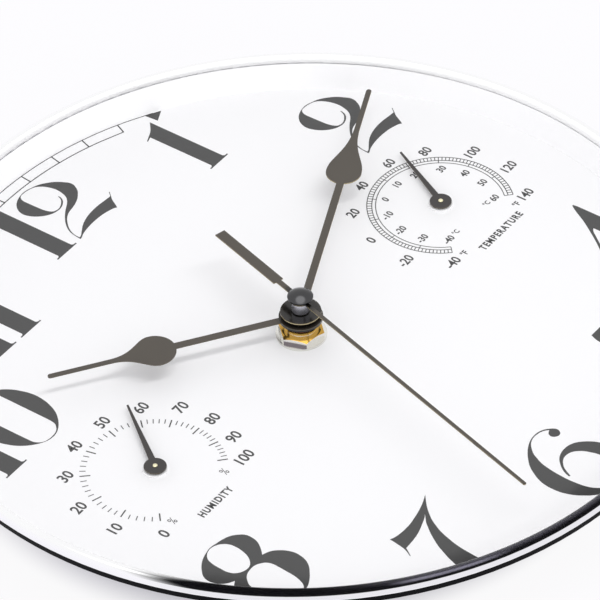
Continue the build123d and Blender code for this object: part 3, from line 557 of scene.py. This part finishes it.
numeralTwo = outline("""4 29.25, 6 29.1, 7.5 28.65, 10 27.75, 12.5 26, 14.5 24, 16 21.5,
    16.65 20, 16.65 18.5, 16 17, 15 15.5, 13.5 14.25, 12 13.25, 10 12.4, 8 11.85, 6 11.5,
    4.5 11.1, 2.5 10, 0.5 8.25, -1 6.5, -2.1 4.5, -2.6 2.5, -2.65 1*, -2 1.1, 0 2.25,
    2.5 3.75, 5 4.75, 7.5 5.35, 10 5.65, 13 5.7, 16 5.45, 18.75 5.25*, 19.25 5.75,
    20.15 6.85*, 20.45 6.75*, 19.75 6, 19 5.1, 18 4, 17.1 2.5, 16.25 1, 15.65 0.1*, 15 0.6,
    13 1.25, 11 1.7, 8.5 1.95, 6 2, 3.5 1.85, 1 1.5, -1 1, -2.4 0.4, -3 0.3*, -3.1 0.4*,
    -2.9 2.5, -2.5 4.5, -1.6 6.5, -0.1 8.5, 2 10.5, 4 12, 6 13.25, 8 14.35, 9.5 15.5,
    10.5 16.75, 11.25 18.75, 11.6 21, 11.4 23, 10.75 25, 9.75 26.75, 8.75 27.75, 7.5 28.35,
    5.5 28.85, 4 28.95, 2.75 28.85, 1.85 28.25, 1.25 27, 1.15 24.5, 1.25 21, 1.4 18.5,
    1.9 16.75, 2.5 15.75, 3.25 15.3, 4.5 15.1, 6 15.45, 7.25 16.15, 8.3 17.0, 8.9 17.9,
    9.22 18.85*, 9.52 18.9*, 9.3 17.8, 8.65 16.6, 7.5 15.6, 6 14.9, 4.5 14.65, 3 14.8,
    1.5 15.25, 0 16.1, -1.5 17.4, -2.75 19, -3.6 20.75, -4 22.5, -3.75 24.25, -3 25.75,
    -1.9 27, -0.5 28, 1 28.65, 2.5 29.05""")
numeralFour = [
    outline("""98.3 -34.6*, 98.7 -34.6*, 98.9 -36.5*, 98.9 -56.9*, 102.6 -56.9*, 102.6 -57.45*,
        98.9 -57.45*, 98.9 -62.4*, 99.2 -62.85, 100.3 -62.95*, 100.3 -63.45*, 91.6 -63.45*,
        91.6 -62.95*, 92.7 -62.85, 93 -62.4*, 93 -57.45*, 83.2 -57.45*, 83 -57.1*, 85.4 -54,
        87.5 -51.3, 89.4 -48.7, 91.2 -46.1, 92.7 -43.9, 94.1 -41.7, 95.6 -39, 97 -36.5"""),
    outline("93 -46.3*, 93 -56.9*, 84.3 -56.9*, 86.2 -54.4, 88.3 -51.7, 90.3 -49, 92 -46.9"),
]
numeralFive = [outline("""50.5 -74.3*, 65.4 -74.3*, 65.2 -76.4, 64 -78.7, 61.6 -80.4, 58 -81,
    54 -80.8, 51.3 -80.2*, 50.5 -83, 49.9 -86.2*, 52 -84.9, 55 -84.2, 58.6 -84.5, 62 -86.1,
    64.4 -89, 65 -92.6, 63.9 -96.6, 61.2 -99.8, 57.4 -101.7, 53.4 -102, 50 -100.9, 47.8 -98.6,
    47.4 -96.4, 48.6 -94.7, 50.6 -94.5, 52.1 -95.9, 51.9 -97.9, 50.8 -99.2, 51.3 -100.4,
    53.3 -101.3, 55.6 -101, 57.4 -98.9, 58.5 -95.4, 58.7 -91.6, 57.9 -87.6, 55.8 -85.2,
    53 -85.3, 50.6 -86.7, 49.6 -88.1*, 49 -87.9*, 49.3 -84.2, 49.3 -79.5, 49.6 -76.8""")]
numeralSix = [outline("""2.5 -85.6, 5 -85.9, 6.75 -86.75, 7.85 -87.75, 8.7 -88.9, 9 -89.9,
    8.6 -91, 7.5 -91.8, 6.25 -91.5, 5.4 -90.5, 5.5 -89.25, 6.5 -88.35, 7.3 -88.1*, 6.5 -87.25,
    5.25 -86.5, 3.75 -86.1, 2 -86, 0.5 -86.3, -1 -87, -2.75 -88.5, -4.25 -90.25, -5.25 -92.25,
    -6.25 -94.5, -6.85 -97, -7.25 -99.5, -7.5 -102, -7.65 -105, -7.5 -108, -7.1 -111,
    -6.2 -113.6, -4.6 -115.8, -2.2 -117.3, 0.2 -117.8, 2.6 -117.3, 4.7 -115.6, 6.1 -112.8,
    6.9 -109.4, 6.8 -106, 6.25 -104, 5.5 -102, 4.5 -100.5, 3.5 -99.5, 2 -98.75, 0 -98.6,
    -1.5 -99.1, -2.75 -100, -4 -101.25, -4.75 -102.5, -5.5 -104, -5.9 -104.8*, -6.35 -104.5*,
    -5.75 -102.75, -4.75 -101, -3.25 -99.25, -1.5 -97.75, 0.5 -96.85, 3 -96.5, 5.5 -96.9,
    7.5 -98, 9 -99.5, 10.25 -101.25, 11.25 -103.25, 12.1 -106.4, 11.9 -110.2, 10.4 -113.6,
    7.7 -116.2, 4.2 -117.9, 0.3 -118.4, -3.4 -118.1, -6.9 -117, -9.3 -115, -10.75 -113,
    -12 -111, -13 -108.5, -13.6 -106, -13.75 -103, -13.5 -100.5, -12.75 -98, -11.5 -95.5,
    -9.5 -92.5, -7.5 -90.5, -5 -88.5, -2.5 -87, 0 -86""")]
numeralSeven = [outline("""-59.5 -76.15*, -58 -76.75, -55.5 -77.2, -53 -77.3, -50.5 -77.2,
    -48 -76.8, -45.5 -76.3, -42.5 -75.5, -40 -74.6, -37.5 -73.5*, -39 -74.75, -40.75 -76.25,
    -42.5 -78, -44 -79.75, -45.5 -81.75, -46.75 -84, -47.75 -86, -48.5 -88, -49.25 -90.5,
    -49.9 -93, -50.35 -95.5, -50.6 -98, -50.8 -100.5, -50.9 -103*, -58.3 -103*, -57.8 -100.5,
    -56.75 -97.25, -56 -95, -54.9 -92.5, -53.5 -89.5, -52 -87, -50.5 -84.75, -48.75 -82.5,
    -47 -80.5, -45.5 -79.25, -44.5 -78.35*, -46 -79.25, -48 -80, -50.5 -80.9, -53 -81.6,
    -55.5 -82, -58 -82.2, -59.75 -82.3*, -60.5 -83.5, -61.75 -85.35*, -61.95 -85.25*,
    -60.75 -83, -60.25 -81.5, -59.9 -79.5, -59.6 -77.5""")]
numeralEight = [shifted(outline(text), -93.4, -68.3) for text in (
    """0.4 34.2, 2.9 33.8, 5.4 33.3, 7.9 32.3, 9.9 30.55, 11 28.8, 11.15 26.55, 10.65 24.3,
    9.4 22.3, 7.9 20.55, 6.9 19.6*, 8.4 19.05, 9.9 18.2, 11.4 16.55, 12.55 14.55, 13.2 12.05,
    13.05 9.8, 12.4 7.55, 10.9 5.3, 8.9 3.55, 6.4 1.8, 4.4 0.8, 2.65 0.3, 0 0, -1.8 0.15,
    -3.6 0.9, -5.2 2.2, -6.8 4.1, -8.3 6.6, -9.8 9.4, -10.6 12, -10.7 14.4, -10.1 16.4,
    -9.2 17.9, -8.3 18.7, -6.7 19.6*, -8.6 20.7, -10.1 22.3, -11 24.3, -11.2 26.3,
    -10.6 28.3, -9.1 30.05, -6.6 32.05, -4.6 33.05, -2.1 33.8""",
    """0.4 33.9, 2.4 33.3, 3.9 32.05, 4.9 30.3, 5.15 28.3, 4.9 25.8, 4.15 23.3, 2.9 21.3,
    1.4 20.05, -0.1 19.65, -2.1 20.05, -3.85 21.3, -4.85 23.3, -4.95 26.3, -4.6 29.8,
    -3.85 31.8, -2.35 33.2, -0.85 33.8""",
    """-0.1 18.8, 1.9 18.7, 3.65 17.8, 4.9 16.55, 5.5 14.8, 5.5 12.3, 5.3 9.3, 5.05 6.3,
    4.4 3.8, 3.4 1.8, 2.2 0.9, 0.4 0.5, -1.4 1, -2.6 2, -3.7 3.8, -4.8 6.4, -5.5 9.3,
    -5.9 12.3, -5.85 14.55, -4.6 16.55, -2.6 18.2""")]
numeralZero = [shifted(outline(text), -81, 50) for text in (
    """0 15.4, 2 15.15, 3.75 14.4, 5.5 13.25, 7.6 11.3, 9.5 8.7, 10.75 5.8, 11.6 2.6, 11.8 0,
    11.5 -3, 10.75 -5.8, 9.5 -8.7, 7.6 -11.3, 5.5 -13.25, 3.75 -14.4, 2 -15.15, 0 -15.4,
    -2 -15.15, -3.75 -14.4, -5.5 -13.25, -7.6 -11.3, -9.5 -8.7, -10.75 -5.8, -11.5 -3,
    -11.8 0, -11.5 3, -10.75 5.8, -9.5 8.7, -7.6 11.3, -5.5 13.25, -3.75 14.4, -2 15.15""",
    """0.3 15, 2.4 14.6, 4 13.5, 5 12.1, 5.3 10.5, 5.4 8*, 5.4 -8*, 5.3 -10.5, 5 -12.1,
    4 -13.5, 2.4 -14.6, 0.3 -15, -1.7 -14.9, -3.3 -14.4, -4.5 -13.3, -5.2 -11.8, -5.3 -9.8,
    -5.35 -8*, -5.35 8*, -5.3 9.8, -5.2 11.8, -4.5 13.3, -3.3 14.4, -1.7 14.9""")]
numerals = {
    "numeral1": [numeralOne(49.35, 70.75, 6.0)],
    "numeral2": [shifted(numeralTwo, 85.75, 33.5, 0.975, 1.067)],
    "numeral4": numeralFour,
    "numeral5": numeralFive,
    "numeral6": numeralSix,
    "numeral7": numeralSeven,
    "numeral8": numeralEight,
    "numeral10": [numeralOne(-102.05, 34.7, 6.85, 0.96, 1.4)] + numeralZero,
    "numeral11": [numeralOne(-61.5, 70.6, 6.8, 0.96), numeralOne(-49.15, 70.6, 6.8, 0.96)],
    "numeral12": [numeralOne(-13.55, 84.0, 6.6), shifted(numeralTwo, 0.0, 84.0)],
}
for name, contours in numerals.items():
    printed(name, [flatCurve(name, contours)])
print("numerals printed")


# Track and scales: radii and widths in mm, bearings in degrees

def polar(radius, degrees, centre=(0.0, 0.0)):
    turn = math.radians(degrees)
    return centre[0] + radius * math.cos(turn), centre[1] + radius * math.sin(turn)


def arcLine(radius, width, start, stop, centre=(0.0, 0.0), step=6.0):
    count = max(2, round(abs(stop - start) / step) + 1)
    turns = [start + (stop - start) * index / (count - 1) for index in range(count)]
    out = [polar(radius + width / 2, turn, centre) for turn in turns]
    back = [polar(radius - width / 2, turn, centre) for turn in reversed(turns)]
    ends = {0, count - 1, count, 2 * count - 1}
    return [(x, y, index in ends) for index, (x, y) in enumerate(out + back)]


def tickLine(inner, outer, width, degrees, centre=(0.0, 0.0)):
    turn = math.radians(degrees)
    across = (-math.sin(turn) * width / 2, math.cos(turn) * width / 2)
    corners = []
    for radius, side in ((inner, 1), (outer, 1), (outer, -1), (inner, -1)):
        x, y = polar(radius, degrees, centre)
        corners.append((x + across[0] * side, y + across[1] * side, True))
    return corners


# The track runs from a dart at 1 o'clock over the 12 to one at 11, its inner line tick to tick
track = {
    "outer": 119.2, "outerLine": 0.33, "inner": 115.1, "innerLine": 0.38, "tick": 0.44,
    "ticks": (66.1, 72.6, 78.6, 85.0, 91.4, 97.2, 102.8, 108.4, 113.9),
    "darts": (60.0, 120.0), "dartHalf": 1.42, "dartPast": 0.1,   # half a dart's width, in degrees
}
lines = [arcLine(track["outer"], track["outerLine"], *track["darts"]),
         arcLine(track["inner"], track["innerLine"], track["ticks"][0], track["ticks"][-1])]
ticks = [tickLine(track["inner"], track["outer"], track["tick"], bearing)
         for bearing in track["ticks"]]
for bearing in track["darts"]:
    ticks.append([polar(track["outer"], bearing + track["dartHalf"]) + (True,),
                  polar(track["outer"], bearing - track["dartHalf"]) + (True,),
                  polar(track["inner"] - track["dartPast"], bearing) + (True,)])
printed("minuteTrack", [flatCurve("minuteTrackLines", lines),
                        flatCurve("minuteTrackTicks", ticks)])

scale = {    # of humidity, in per cent
    "centre": (-75.2, 0.3), "outer": 22.7, "long": 19.4, "short": 20.8,
    "longWidth": 0.42, "shortWidth": 0.30, "perTen": 5,
    # Bearing of each ten per cent mark, from the printed scale
    "tens": (-138.1, -169.1, -198.0, -227.8, -256.9, -285.3, -312.3, -336.5, -360.0, -381.8,
             -403.2),
}
lastTen = len(scale["tens"]) - 1
ticks = []
for mark in range(lastTen * scale["perTen"] + 1):
    ten, part = divmod(mark, scale["perTen"])
    before, after = scale["tens"][ten], scale["tens"][min(ten + 1, lastTen)]
    size = "short" if part else "long"
    ticks.append(tickLine(scale[size], scale["outer"], scale[size + "Width"],
                          before + (after - before) * part / scale["perTen"], scale["centre"]))
printed("hygrometerScale", [flatCurve("hygrometerTicks", ticks)])

scale = {    # of temperature: °F outside, °C inside, and both start at -40
    "centre": gaugeAt["thermometer"], "outer": 23.5, "middle": 21.9, "inner": 20.7,
    "line": 0.28, "tick": 0.26, "gap": 0.15,
    "first": 224.0, "perDegree": -1.4833,    # bearing of -40, and the turn for each °F
    "fahrenheit": range(0, 181, 2), "celsius": range(0, 101, 10),    # ticks, counted from -40
}
last = scale["first"] + scale["fahrenheit"][-1] * scale["perDegree"]
lines = [arcLine(scale[which], scale["line"], last, scale["first"], scale["centre"])
         for which in ("outer", "middle", "inner")]
ticks = [tickLine(scale["middle"], scale["outer"], scale["tick"],
                  scale["first"] + degrees * scale["perDegree"], scale["centre"])
         for degrees in scale["fahrenheit"]]
ticks += [tickLine(scale["inner"], scale["middle"] - scale["gap"], scale["tick"],
                   scale["first"] + degrees * 1.8 * scale["perDegree"], scale["centre"])
          for degrees in scale["celsius"]]
printed("thermometerScale", [flatCurve("thermometerArcs", lines),
                             flatCurve("thermometerTicks", ticks)])
print("track and scales printed")


# Figures by the scales, and words

figures = {    # height, narrowing and weight, then each text and its middle, in mm
    "hygrometerFigures": (4.0, 0.90, 0.018, """0 -95.85 -19.05, 10 -102.4 -5.6, 20 -101.5 8.85,
        30 -92.85 20.6, 40 -80.85 26.6, 50 -67.3 26.25, 60 -55.3 20.5, 70 -48.2 10.6,
        80 -46.8 -0.4, 90 -49.65 -10.7, 100 -55 -18.8"""),
    "hygrometerUnits": (3.0, 0.72, 0.0, "% -90 -17.8, % -63.75 -17.6"),
    "fahrenheitFigures": (3.5, 0.88, 0.020, """-40 54.3 -19.2, -20 46.6 -6.5, 0 48.5 8.25,
        20 55.9 20.6, 40 68.25 26.1, 60 82.35 25.6, 80 93.75 19.4, 100 102.1 6.7,
        120 102.75 -7.05, 140 94.65 -19.2"""),
    "fahrenheitUnits": (2.4, 0.86, 0.02, "°F 60 -19.5, °F 88.9 -19.5"),
    "celsiusFigures": (2.6, 0.88, 0.024, """-40 62.6 -11.8, -30 58.35 -4.6, -20 57.7 3.4,
        -10 61.2 10.95, 0 67.2 16.05, 10 75.45 17.25, 20 82.5 15.3, 30 89.55 10.05, 40 92 2.6,
        50 91.5 -4.6, 60 87.45 -12"""),
    "celsiusUnits": (2.0, 0.86, 0.02, "°C 66.8 -11.5, °C 83.8 -11.5"),
}
words = {    # the text, its middle and its whole width
    "humidityWord": ("HUMIDITY", -75.9, -23.5, 15.2),
    "temperatureWord": ("TEMPERATURE", 75.45, -22.95, 21.5),
}
wordPrint = {"height": 2.7, "weight": 0.036, "gap": 1.25}


def letters(text, x, y, height, weight, narrow=1.0, gap=1.0, width=None):
    bpy.ops.object.select_all(action="DESELECT")
    bpy.ops.object.text_add(location=(0.0, 0.0, 0.0))
    piece = bpy.context.object
    piece.data.body = text
    piece.data.resolution_u = ink["letterSteps"]
    piece.data.offset = weight
    piece.data.space_character = gap
    piece.data.extrude = ink["thickness"] / 2
    pick([piece])
    bpy.ops.object.convert(target="MESH")
    corners = [vertex.co for vertex in piece.data.vertices]
    low = Vector([min(corner[axis] for corner in corners) for axis in range(3)])
    high = Vector([max(corner[axis] for corner in corners) for axis in range(3)])
    tall = height / (high.y - low.y)
    wide = width / (high.x - low.x) if width else tall * narrow
    middle = (low + high) / 2
    piece.data.transform(Matrix.Diagonal((wide, tall, 1.0, 1.0)) @ Matrix.Translation(-middle))
    piece.location = (x, y, 0.0)
    bpy.ops.object.transform_apply(location=True, rotation=False, scale=False)
    return piece


for name, (height, narrow, weight, places) in figures.items():
    made = []
    for item in places.replace("\n", " ").split(","):
        text, x, y = item.split()
        made.append(letters(text, float(x), float(y), height, weight, narrow))
    printed(name, made)
for name, (text, x, y, width) in words.items():
    printed(name, [letters(text, x, y, **wordPrint, width=width)])
print("figures printed")


# Floor: pale paper that the camera and reflections see white, with part of its shadow kept

floorPaper = {"size": 6.0, "drop": 0.0002, "colour": (0.76, 0.71, 1.0), "glow": (1.0, 0.997, 1.0),
              # The share of the shadow that it keeps, and what is added close under the rim about
              # an offset centre, a painted shadow over the real one
              "shadowKept": 0.06, "paintedShadowUnderRim": 0.56, "rimShade": (0.098, 0.115),
              "shadeCentre": (0.0013, 0.0075)}
bpy.ops.object.select_all(action="DESELECT")
bpy.ops.mesh.primitive_plane_add(size=floorPaper["size"],
                                 location=(0.0, 0.0, -floorPaper["drop"]))
floor = bpy.context.object
floor.name = "floor"
paint = Paint("floorPaper")
tooth = paint.noise(900.0, 3.0)
paint.feed(Base_Color=paint.blend(tooth, tinted(floorPaper["colour"], 0.985),
                                  floorPaper["colour"]),
           Roughness=0.9, Specular_IOR_Level=0.0)
glow = paint.node("ShaderNodeEmission", None,
                  {"Color": floorPaper["glow"] + (1.0,), "Strength": 1.0})
toCamera, toGlossy = paint.rays("Camera", "Glossy")
x, y, z = paint.axes(paint.place())
fromCentre = distance(x - floorPaper["shadeCentre"][0], y - floorPaper["shadeCentre"][1])
# Painted shadow: a ring close under the rim shows more of the shaded paper
under = 1.0 - fromCentre.between(*floorPaper["rimShade"])
lit = toCamera.larger(toGlossy) * (1.0 - floorPaper["shadowKept"]
                                   - under * floorPaper["paintedShadowUnderRim"])
paint.show(lit, paint.surface(), glow)
floor.data.materials.append(paint.material)


# Flag: a dark card curved over the near lip, of which only the reflection is seen

flag = {"ring": 0.125, "reach": 0.018, "foot": 0.0325,
        # It fades out at two bearings. The first end comes to a point: by how many degrees, and
        # at what turn over the lip, which is 0 towards the dial, 90 on top and 180 outside
        "fadeIn": (-169.5, -158.5), "fadeOut": (-75.0, -50.0),
        "point": 5.0, "pointTurn": 95.0, "pointSpan": 75.0,
        # It is dark from the inner turn to the outer one, then faint as far as under the lip
        "inner": (-26.0, -6.0), "outer": (158.0, 166.0), "under": (-120.0, -100.0),
        "footHeld": 0.12,
        # Its tones paint the lip's reflection: a paler part and a grey streak are painted
        # highlights
        "dark": 0.009, "pale": 0.10, "paleBearing": (-142.0, -120.0), "paleTurn": (30.0, 125.0),
        "streak": 0.30, "streakBearing": (-132.0, -126.0, -118.0, -110.0),
        "streakTurn": (62.0, 92.0, 100.0, 132.0)}
bpy.ops.object.select_all(action="DESELECT")
bpy.ops.mesh.primitive_torus_add(major_radius=flag["ring"], minor_radius=flag["reach"],
                                 major_segments=180, minor_segments=48,
                                 location=(0.0, 0.0, flag["foot"]))
card = bpy.context.object
card.name = "flagCard"
bpy.ops.object.transform_apply(location=True, rotation=True, scale=True)
paint = Paint("flagCloth")
x, y, z = paint.axes(paint.place())
bearing = y.bearing(x)
turn = (z - flag["foot"]).bearing(flag["ring"] - distance(x, y))


def hump(wire, rise, top, fall, end):
    return wire.between(rise, top) * (1.0 - wire.between(fall, end))


crown = 1.0 - (turn - flag["pointTurn"]).size() * (1 / flag["pointSpan"])
foot = turn.between(*flag["outer"]) + 1.0 - turn.between(*flag["under"])
held = (hump(bearing + crown * flag["point"], *flag["fadeIn"], *flag["fadeOut"])
        * hump(turn, *flag["inner"], *flag["outer"])
        + hump(bearing, *flag["fadeIn"], *flag["fadeOut"]) * foot * flag["footHeld"])
# Painted highlights in the lip's reflection: a grey streak and a paler part
streak = hump(bearing, *flag["streakBearing"]) * hump(turn, *flag["streakTurn"]) * flag["streak"]
pale = bearing.between(*flag["paleBearing"]) * (1.0 - turn.between(*flag["paleTurn"]))
tone = pale * flag["pale"] + streak + flag["dark"]
paint.feed(Base_Color=paint.blend(tone, (0.0, 0.0, 0.0), (1.0, 1.0, 1.03)), Roughness=1.0,
           Specular_IOR_Level=0.0)
paint.show(held, paint.node("ShaderNodeBsdfTransparent"), paint.surface())
card.data.materials.append(paint.material)
for ray in ("camera", "diffuse", "shadow", "transmission", "volume_scatter"):
    setattr(card, "visible_" + ray, False)


# Lamp: a long soft one overhead, out of the reflections

lampLook = {"power": 5.3, "height": 1.25, "lean": (0.055, -0.31), "long": 1.5, "short": 0.22,
            "bearing": 145.0}
bpy.ops.object.select_all(action="DESELECT")
lampAt = Vector(lampLook["lean"] + (1.0,)) * lampLook["height"]
bpy.ops.object.light_add(type="AREA", location=lampAt)
lamp = bpy.context.object
lamp.name = "softLamp"
lamp.data.shape = "ELLIPSE"
lamp.data.size = lampLook["long"]
lamp.data.size_y = lampLook["short"]
lamp.data.energy = lampLook["power"]
lamp.visible_glossy = False
along = Vector(polar(1.0, lampLook["bearing"]) + (0.0,))
up = lampAt.normalized()
across = up.cross(along).normalized()
lamp.rotation_euler = Matrix((across.cross(up), across, up)).transposed().to_euler()


# Room: the light of a white tent, brighter at its foot

class Room(Paint):
    def __init__(self, world):
        self.tree = world.node_tree
        self.shader = self.tree.nodes["Background"]


sky = {"colour": (0.985, 0.98, 1.0), "top": 0.34, "foot": 1.75,
       # Reflections see white, as the camera does, and a brighter patch overhead, a painted
       # highlight that nothing else sees, here from its edge to its full strength
       "patch": (0.89, 0.95), "patchGlow": 1.7}
world = bpy.data.worlds.new("paleRoom")
bpy.context.scene.world = world
world.use_nodes = True
room = Room(world)
upward = room.axes(room.place("Generated"))[2].larger(0.0)
toCamera, toGlossy, through = room.rays("Camera", "Glossy", "Transmission")
shown = toCamera.larger(toGlossy).larger(through)
glow = sky["foot"] - upward * (sky["foot"] - sky["top"])
room.feed(Color=room.blend(shown, sky["colour"], (1.0, 1.0, 1.0)),
          Strength=glow + shown * (1.0 - glow)
          + toGlossy * upward.between(*sky["patch"]) * sky["patchGlow"])

view = {"lens": 360.0, "sensor": 36.0, "near": 0.01, "at": (-1.10462, -0.84507, 1.26041),
        "right": (0.589895, -0.807093, -0.024994), "up": (0.544205, 0.374505, 0.750724),
        "back": (-0.596544, -0.456451, 0.660143)}
camera = bpy.data.objects.new("camera", bpy.data.cameras.new("camera"))
bpy.context.scene.collection.objects.link(camera)
camera.data.lens = view["lens"]
camera.data.sensor_width = view["sensor"]
camera.data.clip_start = view["near"]
camera.matrix_world = Matrix.Translation(view["at"]) @ Matrix(
    (view["right"], view["up"], view["back"])).transposed().to_4x4()
bpy.context.scene.camera = camera
bpy.context.scene.view_settings.view_transform = "Standard"
print("stage set")
